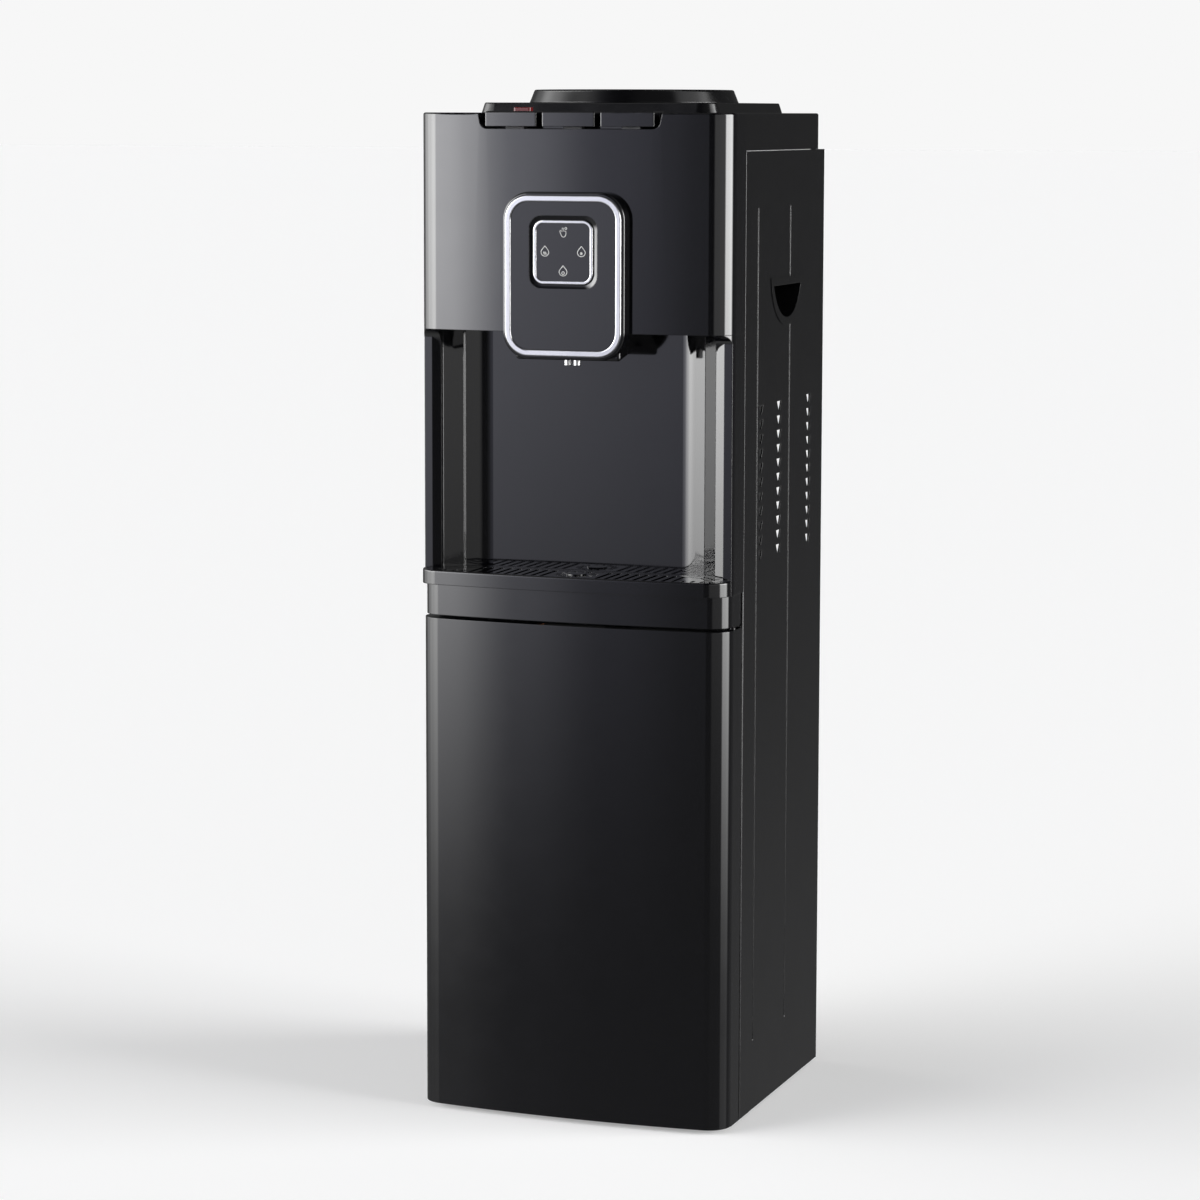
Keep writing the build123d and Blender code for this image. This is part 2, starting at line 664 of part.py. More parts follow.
def feed_probe():
    """Hollow spike that opens the bottle's valve, held by three spokes inside the funnel."""
    with BuildPart() as probe:
        with BuildSketch(Plane.XZ.offset(-BOTTLE_Y)):
            with BuildLine():
                Polyline((8.0, 938.0), (8.0, 900.0), (5.0, 900.0), (5.0, 938.0), (0.0, 944.0), (0.0, 950.0))
                ThreePointArc((0.0, 950.0), (5.8, 946.0), (8.0, 938.0))
            make_face()
        revolve(axis=Axis((0, BOTTLE_Y, 0), (0, 0, 1)))
        with BuildSketch(Plane.XY.offset(906.2)):
            with Locations((0, BOTTLE_Y)):
                with PolarLocations(18.0, 3, start_angle=90):
                    Rectangle(22.0, 3.0)
        extrude(amount=6.0)
        with BuildSketch(Plane.XZ.offset(-BOTTLE_Y)):
            with Locations((0, 921.0), (0, 931.0)):
                Circle(2.5)
        extrude(amount=12.0, both=True, mode=Mode.SUBTRACT)
    save(probe, "feed_probe")


# ---------------------------------------------------------------- tanks


def tank_lid():
    with BuildPart() as lid:
        rod((0, BOTTLE_Y), COLD_R + 4.0, (900.2, 903.0))
        rod((0, BOTTLE_Y), 37.0, (903.0, 912.0))
        rod((0, BOTTLE_Y), 34.0, (900.2, 912.0), Mode.SUBTRACT)
    save(lid, "tank_lid")


def cold_tank():
    with BuildPart() as tank:
        rod((0, BOTTLE_Y), COLD_R, (770.0, 900.0))
        rod((0, BOTTLE_Y), COLD_R - 1.5, (771.5, 900.0), Mode.SUBTRACT)
        for x in (-25.0, 25.0):
            rod((x, BOTTLE_Y), 4.5, (735.0, 771.0))
            rod((x, BOTTLE_Y), 3.0, (735.0, 772.0), Mode.SUBTRACT)
    save(tank, "cold_tank")


def cold_tank_foam():
    with BuildPart() as foam:
        block((-88.0, 88.0), (BOTTLE_Y - 86.0, BOTTLE_Y + 86.0), (745.0, 912.0))
        fillet(foam.edges().filter_by(Axis.Z), 18.0)
        rod((0, BOTTLE_Y), 72.0, (765.0, 912.0), Mode.SUBTRACT)
        for x in (-25.0, 25.0):
            rod((x, BOTTLE_Y), 5.0, (745.0, 765.0), Mode.SUBTRACT)
    save(foam, "cold_tank_foam")


def evaporator_coil():
    with BuildPart() as coil:
        for turn in range(6):
            with BuildSketch(Plane.XZ.offset(-BOTTLE_Y)):
                with Locations((COLD_R + 4.0, 790.0 + turn * 9.0)):
                    Circle(3.2)
            revolve(axis=Axis((0, BOTTLE_Y, 0), (0, 0, 1)))
    save(coil, "evaporator_coil")


def hot_tank():
    with BuildPart() as tank:
        rod((HOT_X, HOT_Y), HOT_R, (560.0, 700.0))
        fillet(tank.edges(), 8.0)
        # Welded stand: a shelf under the tank on two legs, the right one tall enough to shield the wall.
        stand_y = (24.0, 96.0)
        block(STAND_X, stand_y, (558.5, 560.0))
        block((STAND_X[0], STAND_X[0] + SHEET), stand_y, (468.0, 560.0))
        block((STAND_X[1] - SHEET, STAND_X[1]), stand_y, (468.0, 700.0))
        rod((HOT_X, HOT_Y), HOT_R - 2.0, (570.0, 690.0), Mode.SUBTRACT)
        for centre in ((25.0, BOTTLE_Y), (HOT_X, 20.0)):
            rod(centre, 4.5, (698.0, 708.0))
            rod(centre, 3.0, (685.0, 708.0), Mode.SUBTRACT)
    save(tank, "hot_tank")


def heater_band():
    with BuildPart() as band:
        rod((HOT_X, HOT_Y), HOT_R + 5.0, (580.0, 612.0))
        rod((HOT_X, HOT_Y), HOT_R + 0.2, (580.0, 612.0), Mode.SUBTRACT)
        block((HOT_X - 8.0, HOT_X + 8.0), (HOT_Y + HOT_R + 3.0, HOT_Y + HOT_R + 14.0), (586.0, 606.0))
    save(band, "heater_band")


def thermostats():
    with BuildPart() as pair:
        for x in (52.0, 74.0):
            rod((x, 78.0), 8.0, (700.0, 707.0))
            rod((x, 78.0), 5.0, (707.0, 712.0))
    save(pair, "hot_tank_thermostats")


def valve(side, name):
    """Solenoid valve: a body with an inlet below and an outlet at the front, and a coil on top."""
    x = side * OUTLET_X
    with BuildPart() as body:
        block((x - 10.0, x + 10.0), (VALVE_Y - 11.0, VALVE_Y + 11.0), (VALVE_Z - 10.0, VALVE_Z + 10.0))
        rod((x, VALVE_Y), 4.5, (VALVE_Z - 18.0, VALVE_Z - 9.0))
        rod((x, VALVE_Y), 9.0, (VALVE_Z + 10.0, VALVE_Z + 38.0))
        with BuildSketch(Plane.XZ.offset(84.0)):
            with Locations((x, VALVE_Z)):
                Circle(4.5)
        extrude(amount=8.0)
    save(body, name)


def to_nozzle(side):
    """Route from a valve's outlet to the top of its nozzle."""
    x = side * OUTLET_X
    return [(x, -92.0, VALVE_Z), (x, -112.0, VALVE_Z), (side * NOZZLE_X, NOZZLE_Y, 788.0),
            (side * NOZZLE_X, NOZZLE_Y, 770.0)]


def cold_water():
    supply = [(-OUTLET_X, BOTTLE_Y, 735.0), (-OUTLET_X, BOTTLE_Y, 718.0), (-OUTLET_X, VALVE_Y, 718.0),
              (-OUTLET_X, VALVE_Y, 756.0)]
    tube("cold_hoses", [supply, to_nozzle(-1)], 4.5, 3.0, 8.0)


def hot_water():
    supply = [(HOT_X, 20.0, 708.0), (HOT_X, 20.0, 724.0), (OUTLET_X, VALVE_Y, 724.0),
              (OUTLET_X, VALVE_Y, 756.0)]
    tube("hot_hoses", [supply, to_nozzle(1)], 4.5, 3.0, 8.0)
    tube("feed_hose", [[(OUTLET_X, BOTTLE_Y, 735.0), (OUTLET_X, BOTTLE_Y, 708.0)]], 5.0, 3.0, 8.0)


# ---------------------------------------------------------------- refrigeration and electrics


def compressor():
    with BuildPart() as can:
        rod((COMPRESSOR_X, COMPRESSOR_Y), 54.0, (22.0, 150.0))
        fillet(can.edges().group_by(Axis.Z)[-1], 26.0)
        fillet(can.edges().group_by(Axis.Z)[0], 10.0)
        rod((COMPRESSOR_X, COMPRESSOR_Y), 55.5, (82.0, 86.0))
        # Foot plate, neck and terminal box.
        foot_x = (COMPRESSOR_X - 62.0, COMPRESSOR_X + 62.0)
        block(foot_x, (COMPRESSOR_Y - 50.0, COMPRESSOR_Y + 50.0), (16.0, 19.0))
        rod((COMPRESSOR_X, COMPRESSOR_Y), 34.0, (19.0, 26.0))
        terminal_x = (COMPRESSOR_X + 50.0, COMPRESSOR_X + 76.0)
        block(terminal_x, (COMPRESSOR_Y - 22.0, COMPRESSOR_Y + 22.0), (60.0, 112.0))
    save(can, "compressor")


def compressor_mounts():
    with BuildPart() as mounts:
        for x in (COMPRESSOR_X - 52.0, COMPRESSOR_X + 52.0):
            for y in (COMPRESSOR_Y - 40.0, COMPRESSOR_Y + 40.0):
                rod((x, y), 9.0, (BASE_Z + SHEET, 16.0))
    save(mounts, "compressor_mounts")


def condenser():
    """Wire-and-tube condenser: flat tube runs joined at their ends, with upright wires welded on."""
    top = CONDENSER_LOW_Z + (CONDENSER_ROWS - 1) * CONDENSER_PITCH
    with BuildPart() as grid:
        for row in range(CONDENSER_ROWS):
            z = CONDENSER_LOW_Z + row * CONDENSER_PITCH
            with BuildSketch(side_plane(-CONDENSER_HALF)):
                with Locations((CONDENSER_Y, z)):
                    Circle(2.6)
            extrude(amount=2 * CONDENSER_HALF)
            if row < CONDENSER_ROWS - 1:
                side = 1 if row % 2 else -1
                with BuildSketch(side_plane(side * CONDENSER_HALF)):
                    with Locations((CONDENSER_Y, z)):
                        Circle(2.6)
                middle = (side * CONDENSER_HALF, CONDENSER_Y, z + CONDENSER_PITCH / 2)
                revolve(axis=Axis(middle, (0, 1, 0)), revolution_arc=-side * 180.0)
        for step in range(-9, 10):
            rod((step * 12.0, CONDENSER_Y + 3.2), 0.9, (CONDENSER_LOW_Z - 8.0, top + 8.0))
    save(grid, "condenser")


def refrigerant_lines():
    discharge = [(COMPRESSOR_X + 24.0, COMPRESSOR_Y, 150.0), (COMPRESSOR_X + 24.0, COMPRESSOR_Y, 190.0),
                 (60.0, 120.0, 200.0), (118.0, CONDENSER_Y, 215.0), (118.0, CONDENSER_Y, 247.4)]
    suction = [(COMPRESSOR_X - 24.0, COMPRESSOR_Y, 150.0), (COMPRESSOR_X - 24.0, COMPRESSOR_Y, 185.0),
               (-130.0, 118.0, 205.0), (-130.0, 118.0, 620.0), (-112.0, 60.0, 700.0), (-112.0, 60.0, 820.0),
               (-88.2, 60.0, 820.0)]
    tube("refrigerant_lines", [discharge, suction], 3.0, 0, 7.0)


def power_board():
    with BuildPart() as board:
        block((30.0, 135.0), (128.0, 154.0), (800.0, 895.0))
        fillet(board.edges().filter_by(Axis.Y), 4.0)
        block((33.0, 132.0), (131.0, 154.0), (803.0, 892.0), Mode.SUBTRACT)
        block((40.0, 125.0), (134.0, 136.0), (808.0, 887.0))
        block((60.0, 84.0), (130.0, 150.0), (830.0, 860.0))
    save(board, "power_board")


def switch_housing():
    with BuildPart() as housing:
        rim_y = (REAR_SKIN_Y, REAR_SKIN_Y + 1.0)
        for margin, height, y in ((13.0, 17.0, (144.0, REAR_SKIN_Y)), (15.5, 19.5, rim_y)):
            block((SWITCH_XS[0] - margin, SWITCH_XS[1] + margin), y, (SWITCH_Z - height, SWITCH_Z + height))
        for x in SWITCH_XS:
            block((x - 10.6, x + 10.6), (146.0, 161.0), (SWITCH_Z - 15.4, SWITCH_Z + 15.4), Mode.SUBTRACT)
    save(housing, "switch_housing")


def rocker(x, name):
    tilt = math.radians(ROCKER_TILT)
    shape = [(-2.0, -12.0), (5.6, -13.4), (4.4, 0.0), (5.6, 13.4), (-2.0, 12.0)]
    across, along = math.cos(tilt), math.sin(tilt)
    turned = [(ROCKER_Y + y * across - z * along, SWITCH_Z + y * along + z * across) for y, z in shape]
    with BuildPart() as cap:
        with BuildSketch(side_plane(x - 10.0)):
            with BuildLine():
                Polyline(*turned, close=True)
            make_face()
        extrude(amount=20.0)
        pivot_bar(x - 10.4, 20.8, (ROCKER_Y, SWITCH_Z))
    save(cap, name)


def drain_spout():
    with BuildPart() as spout:
        with BuildSketch(back_plane(110.0)):
            with Locations((-DRAIN_X, DRAIN_Z)):
                Circle(8.0)
        extrude(amount=46.0)
        with BuildSketch(back_plane(150.0)):
            with Locations((-DRAIN_X, DRAIN_Z)):
                Circle(11.5)
        extrude(amount=6.0)
        with BuildSketch(back_plane(109.0)):
            with Locations((-DRAIN_X, DRAIN_Z)):
                Circle(5.0)
        extrude(amount=50.0, mode=Mode.SUBTRACT)
    save(spout, "drain_spout")


def drain_cap():
    with BuildPart() as cap:
        with BuildSketch(back_plane(148.0)):
            with Locations((-DRAIN_X, DRAIN_Z)):
                Circle(4.8)
        extrude(amount=9.0)
        with BuildSketch(back_plane(156.2)):
            with Locations((-DRAIN_X, DRAIN_Z)):
                Circle(10.0)
        extrude(amount=3.6)
        with BuildSketch(back_plane(157.6)):
            with Locations((-DRAIN_X, DRAIN_Z)):
                with PolarLocations(10.4, 10):
                    Circle(1.2)
        extrude(amount=3.0, mode=Mode.SUBTRACT)
    save(cap, "drain_cap")


def power_inlet():
    with BuildPart() as inlet:
        with BuildSketch(back_plane(152.0)):
            with Locations((-INLET_X, INLET_Z)):
                Circle(8.8)
                Circle(INLET_BORE_R, mode=Mode.SUBTRACT)
        extrude(amount=6.4)
        with BuildSketch(back_plane(REAR_SKIN_Y)):
            with Locations((-INLET_X, INLET_Z)):
                Circle(12.0)
                Circle(INLET_BORE_R, mode=Mode.SUBTRACT)
        extrude(amount=1.5)
    save(inlet, "power_inlet")


# ---------------------------------------------------------------- door


def door_outer():
    with BuildPart() as door:
        bow_prism(HALF - 0.5, FACE_Y, DOOR_BACK_Y, DOOR_BOTTOM_Z, DOOR_TOP_Z, CORNER_R)
        bow_prism(HALF - 3.0, FACE_Y + 2.5, DOOR_BACK_Y, DOOR_BOTTOM_Z + 2.5, DOOR_TOP_Z - 2.5,
                  CORNER_R - 2.5, Mode.SUBTRACT)
        # Finger grip let into the side away from the hinge.
        block((-153.0, -137.0), (-122.0, DOOR_BACK_Y - 3.5), (300.0, 400.0))
        block((-160.0, -140.0), (-119.0, DOOR_BACK_Y - 6.0), (303.0, 397.0), Mode.SUBTRACT)
        # Hinge bosses, bored for the pins.
        for low, high in ((DOOR_BOTTOM_Z, 22.0), (460.0, DOOR_TOP_Z)):
            rod((HINGE_X, HINGE_Y), 5.2, (low, high))
            rod((HINGE_X, HINGE_Y), PIN_R + 0.1, (low - 1.0, high + 1.0), Mode.SUBTRACT)
    save(door, "door_outer")


def door_inner():
    with BuildPart() as liner:
        block((-151.6, 151.6), (DOOR_BACK_Y - 2.8, DOOR_BACK_Y - 0.2), (7.6, 475.0))
        # Dished centre, sunk towards the face.
        plate_outline(236.0, 400.0, 16.0, DOOR_BACK_Y - 11.0, 241.0, 9.0)
        plate_outline(231.0, 395.0, 13.5, DOOR_BACK_Y - 8.5, 241.0, 9.0, Mode.SUBTRACT)
    save(liner, "door_inner")


def door_gasket():
    with BuildPart() as gasket:
        with BuildSketch(Plane.XZ.offset(-DOOR_BACK_Y + 0.2)):
            with Locations((0, 245.0)):
                RectangleRounded(284.0, 438.0, 8.0)
                RectangleRounded(268.0, 422.0, 4.0, mode=Mode.SUBTRACT)
        extrude(amount=-2.8)
    save(gasket, "door_gasket")


def door_hinges():
    """Two pins on flat brackets: one under the base, one under the band above the door."""
    with BuildPart() as hinges:
        for plate_z, pin_z in (((2.2, BASE_Z), (BASE_Z, 18.0)), ((479.3, BAND_Z), (464.0, 479.3))):
            block((141.0, 152.4), (-110.0, -55.0), plate_z)
            rod((HINGE_X, HINGE_Y), PIN_R, pin_z)
    save(hinges, "door_hinges")


def build():
    base_plate()
    levelling_feet()
    side_panel(-1, "left_side_panel")
    side_panel(1, "right_side_panel")
    hand_grip(-1, "left_hand_grip")
    hand_grip(1, "right_hand_grip")
    rear_panel()
    rear_rail()
    rear_screws()
    front_frame()
    cabinet_liner()
    cabinet_shelf()
    upper_panel()
    alcove_moulding()
    lower_band()
    drip_tray()
    drip_grille()
    module_shell()
    module_ring()
    touch_bezel()
    touch_plate()
    touch_board()
    nozzle_housing()
    nozzle(-1, "cold_nozzle")
    nozzle(1, "hot_nozzle")
    key(0, "hot_key")
    key(1, "ambient_key")
    key(2, "cold_key")
    child_lock()
    key_switches()
    top_cover()
    bottle_collar()
    feed_probe()
    tank_lid()
    cold_tank()
    cold_tank_foam()
    evaporator_coil()
    hot_tank()
    heater_band()
    thermostats()
    valve(-1, "cold_valve")
    valve(1, "hot_valve")
    cold_water()
    hot_water()
    compressor()
    compressor_mounts()
    condenser()
    refrigerant_lines()
    power_board()
    switch_housing()
    rocker(SWITCH_XS[0], "hot_switch_rocker")
    rocker(SWITCH_XS[1], "cold_switch_rocker")
    drain_spout()
    drain_cap()
    power_inlet()
    door_outer()
    door_inner()
    door_gasket()
    door_hinges()


build()
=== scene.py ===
"""Looks of the floor-standing water dispenser: materials, trim, icons, studio and camera. Metres."""
import json
import math

import bmesh
import bpy
from mathutils import Matrix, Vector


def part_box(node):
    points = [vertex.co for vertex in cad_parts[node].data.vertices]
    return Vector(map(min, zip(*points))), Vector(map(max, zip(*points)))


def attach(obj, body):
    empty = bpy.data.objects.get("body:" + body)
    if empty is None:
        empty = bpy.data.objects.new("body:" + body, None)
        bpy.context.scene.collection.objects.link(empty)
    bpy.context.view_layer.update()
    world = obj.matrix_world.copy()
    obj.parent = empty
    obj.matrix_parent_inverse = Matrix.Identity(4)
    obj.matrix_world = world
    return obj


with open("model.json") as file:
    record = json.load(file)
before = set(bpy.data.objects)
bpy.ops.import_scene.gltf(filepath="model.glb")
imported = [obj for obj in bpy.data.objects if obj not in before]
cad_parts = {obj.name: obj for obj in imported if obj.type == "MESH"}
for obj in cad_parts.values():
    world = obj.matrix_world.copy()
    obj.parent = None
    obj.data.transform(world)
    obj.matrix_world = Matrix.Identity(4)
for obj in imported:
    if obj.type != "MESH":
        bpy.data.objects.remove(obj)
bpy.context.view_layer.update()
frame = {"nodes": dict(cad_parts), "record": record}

MM = 0.001
CABINET = "cabinet"
WHITE = (1.0, 1.0, 1.0)
EVEN = (1.0, 1.0, 1.0)

# ---------------------------------------------------------------- camera

CAMERA_PLACE = (1.2016, -3.2965, 0.9558)
CAMERA_YAW = math.radians(20.359)
CAMERA_PITCH = math.radians(6.891)
CAMERA_ROLL = math.radians(0.124)
CAMERA_LENS = 108.98
SENSOR_WIDTH = 36.0
CAMERA_SHIFT = -0.04


def make_camera():
    data = bpy.data.cameras.new("camera")
    data.lens = CAMERA_LENS
    data.sensor_width = SENSOR_WIDTH
    data.shift_y = CAMERA_SHIFT
    camera = bpy.data.objects.new("camera", data)
    bpy.context.scene.collection.objects.link(camera)
    turn = Matrix.Rotation(CAMERA_YAW, 4, "Z")
    turn @= Matrix.Rotation(math.pi / 2 - CAMERA_PITCH, 4, "X")
    turn @= Matrix.Rotation(CAMERA_ROLL, 4, "Z")
    camera.matrix_world = Matrix.Translation(CAMERA_PLACE) @ turn
    bpy.context.scene.camera = camera


# ---------------------------------------------------------------- studio

# Brightness of the studio by compass direction in degrees: 0 is the front, negative is the left.
# A big soft light stands on the left, a dark flag just right of the front and a tall strip on the right.
# Each row is a direction, the brightness there and its tint.
STUDIO = (
    (-180.0, 0.06, WHITE),
    (-136.0, 0.10, WHITE),
    (-118.0, 0.6, WHITE),
    (-95.0, 4.0, WHITE),
    (-72.0, 9.0, WHITE),
    (-46.0, 13.0, WHITE),
    (-35.0, 8.6, (0.97, 0.97, 1.0)),
    (-26.0, 2.3, (0.93, 0.94, 1.06)),
    (-17.0, 0.85, (0.90, 0.91, 1.10)),
    (-6.0, 0.24, (0.92, 0.94, 1.06)),
    (2.0, 0.05, WHITE),
    (16.0, 0.05, WHITE),
    (26.0, 0.80, WHITE),
    (72.0, 0.90, WHITE),
    (80.0, 13.0, WHITE),
    (112.0, 13.0, WHITE),
    (124.0, 0.10, WHITE),
    (180.0, 0.06, WHITE),
)
BRIGHTEST = 14.0

# Heights are the upward share of a direction: 0 is level and 1 is straight up.
LIGHTS_FOOT = (-0.25, 0.0)
LIGHTS_HEAD = (0.30, 0.55)
LEFT_BELOW = 0.03
LEFT_ABOVE = 0.06
GLOW_FADE = (-0.30, 0.0)
GLOW_LEVEL = 0.20
BACKDROP = (0.93, 0.93, 0.93, 1.0)

FLOOR_REACH = 90.0
FLOOR_COLOUR = (0.80, 0.80, 0.80, 1.0)
FLOOR_ROUGHNESS = 0.9
FLOOR_GLOW = 0.262


def math_node(tree, operation, *values):
    node = tree.nodes.new("ShaderNodeMath")
    node.operation = operation
    for socket, value in zip(node.inputs, values):
        if isinstance(value, (int, float)):
            socket.default_value = value
        else:
            tree.links.new(value, socket)
    return node.outputs[0]


def smooth_range(tree, value, low, high, start, end):
    node = tree.nodes.new("ShaderNodeMapRange")
    node.interpolation_type = "SMOOTHSTEP"
    tree.links.new(value, node.inputs["Value"])
    for name, number in (("From Min", low), ("From Max", high), ("To Min", start), ("To Max", end)):
        node.inputs[name].default_value = number
    return node.outputs["Result"]


def make_studio():
    world = bpy.data.worlds.new("studio")
    bpy.context.scene.world = world
    world.use_nodes = True
    tree = world.node_tree
    tree.nodes.clear()
    direction = tree.nodes.new("ShaderNodeTexCoord").outputs["Generated"]
    split = tree.nodes.new("ShaderNodeSeparateXYZ")
    tree.links.new(direction, split.inputs[0])
    front = math_node(tree, "MULTIPLY", split.outputs["Y"], -1.0)
    compass = math_node(tree, "ARCTAN2", split.outputs["X"], front)
    along = math_node(tree, "MULTIPLY_ADD", compass, 0.5 / math.pi, 0.5)
    ramp = tree.nodes.new("ShaderNodeValToRGB")
    ramp.color_ramp.interpolation = "EASE"
    tree.links.new(along, ramp.inputs["Fac"])
    stops = ramp.color_ramp.elements
    while len(stops) > 1:
        stops.remove(stops[-1])
    for number, (angle, level, tint) in enumerate(STUDIO):
        place = angle / 360.0 + 0.5
        stop = stops.new(place) if number else stops[0]
        stop.position = place
        stop.color = (*[level / BRIGHTEST * share for share in tint], 1.0)
    # The lights end a little below eye level and again overhead.
    height = split.outputs["Z"]
    below = smooth_range(tree, height, *LIGHTS_FOOT, LEFT_BELOW, 1.0)
    above = smooth_range(tree, height, *LIGHTS_HEAD, 1.0, LEFT_ABOVE)
    strength = math_node(tree, "MULTIPLY", math_node(tree, "MULTIPLY", below, above), BRIGHTEST)
    lights = tree.nodes.new("ShaderNodeBackground")
    tree.links.new(ramp.outputs["Color"], lights.inputs["Color"])
    tree.links.new(strength, lights.inputs["Strength"])
    # The pale floor gives a little light back from below.
    glow = tree.nodes.new("ShaderNodeBackground")
    tree.links.new(smooth_range(tree, height, *GLOW_FADE, GLOW_LEVEL, 0.0), glow.inputs["Strength"])
    whole = tree.nodes.new("ShaderNodeAddShader")
    tree.links.new(lights.outputs[0], whole.inputs[0])
    tree.links.new(glow.outputs[0], whole.inputs[1])
    # What the camera sees behind the machine is plain and pale.
    backdrop = tree.nodes.new("ShaderNodeBackground")
    backdrop.inputs["Color"].default_value = BACKDROP
    ray = tree.nodes.new("ShaderNodeLightPath")
    mix = tree.nodes.new("ShaderNodeMixShader")
    tree.links.new(ray.outputs["Is Camera Ray"], mix.inputs[0])
    tree.links.new(whole.outputs[0], mix.inputs[1])
    tree.links.new(backdrop.outputs[0], mix.inputs[2])
    out = tree.nodes.new("ShaderNodeOutputWorld")
    tree.links.new(mix.outputs[0], out.inputs["Surface"])
    bpy.context.scene.view_settings.view_transform = "Standard"


def make_floor():
    mesh = bpy.data.meshes.new("floor")
    corners = [(x * FLOOR_REACH, y * FLOOR_REACH, 0.0) for x, y in ((-1, -1), (1, -1), (1, 1), (-1, 1))]
    mesh.from_pydata(corners, [], [(0, 1, 2, 3)])
    floor = bpy.data.objects.new("floor", mesh)
    bpy.context.scene.collection.objects.link(floor)
    paper = bpy.data.materials.new("floor_paper")
    paper.use_nodes = True
    shader = paper.node_tree.nodes["Principled BSDF"]
    shader.inputs["Base Color"].default_value = FLOOR_COLOUR
    shader.inputs["Roughness"].default_value = FLOOR_ROUGHNESS
    shader.inputs["Emission Color"].default_value = (*WHITE, 1.0)
    shader.inputs["Emission Strength"].default_value = FLOOR_GLOW
    mesh.materials.append(paper)
    floor.visible_glossy = False


# ---------------------------------------------------------------- materials

# Scale and detail of the noise behind roughness and colour, and the middle share of it that is used.
WEAR_NOISE = (35.0, 4.0)
TONE_NOISE = (60.0, 3.0)
WEAR_SPAN = (0.3, 0.7)
BEVEL_SAMPLES = 6


def finish_material(name, colour, roughness, metallic=0.0, spread=0.02, grain=0.0, grain_scale=900.0,
                    bend=0.0, bend_scale=14.0, edge=0.0, ior=1.5, stretch=EVEN, mottle=0.0):
    """Principled surface whose roughness, colour and relief come from noise in the part's own frame.

    spread and mottle are how far the roughness and the colour stray. grain and bend are the depths of a
    fine and a slow relief, edge is the radius that sharp edges are shaded with, and stretch scales the
    noise along each axis.
    """
    made = bpy.data.materials.new(name)
    made.use_nodes = True
    tree = made.node_tree
    shader = tree.nodes["Principled BSDF"]
    shader.inputs["Metallic"].default_value = metallic
    shader.inputs["IOR"].default_value = ior
    place = tree.nodes.new("ShaderNodeTexCoord").outputs["Object"]
    mapping = tree.nodes.new("ShaderNodeMapping")
    mapping.inputs["Scale"].default_value = stretch
    tree.links.new(place, mapping.inputs["Vector"])

    def noise(scale, detail):
        node = tree.nodes.new("ShaderNodeTexNoise")
        node.inputs["Scale"].default_value = scale
        node.inputs["Detail"].default_value = detail
        tree.links.new(mapping.outputs[0], node.inputs["Vector"])
        return node.outputs["Fac"]

    smoothest = max(roughness - spread, 0.0)
    wear = smooth_range(tree, noise(*WEAR_NOISE), *WEAR_SPAN, smoothest, roughness + spread)
    tree.links.new(wear, shader.inputs["Roughness"])
    tone = tree.nodes.new("ShaderNodeMix")
    tone.data_type = "RGBA"
    tree.links.new(noise(*TONE_NOISE), tone.inputs["Factor"])
    tone.inputs["A"].default_value = (*[c * (1.0 - mottle) for c in colour], 1.0)
    tone.inputs["B"].default_value = (*[min(c * (1.0 + mottle), 1.0) for c in colour], 1.0)
    tree.links.new(tone.outputs["Result"], shader.inputs["Base Color"])
    normal = None
    if edge:
        bevel = tree.nodes.new("ShaderNodeBevel")
        bevel.samples = BEVEL_SAMPLES
        bevel.inputs["Radius"].default_value = edge
        normal = bevel.outputs["Normal"]
    for depth, scale, detail in ((bend, bend_scale, 1.0), (grain, grain_scale, 2.0)):
        if depth:
            bump = tree.nodes.new("ShaderNodeBump")
            bump.inputs["Strength"].default_value = 1.0
            bump.inputs["Distance"].default_value = depth
            tree.links.new(noise(scale, detail), bump.inputs["Height"])
            if normal:
                tree.links.new(normal, bump.inputs["Normal"])
            normal = bump.outputs["Normal"]
    if normal:
        tree.links.new(normal, shader.inputs["Normal"])
    return made


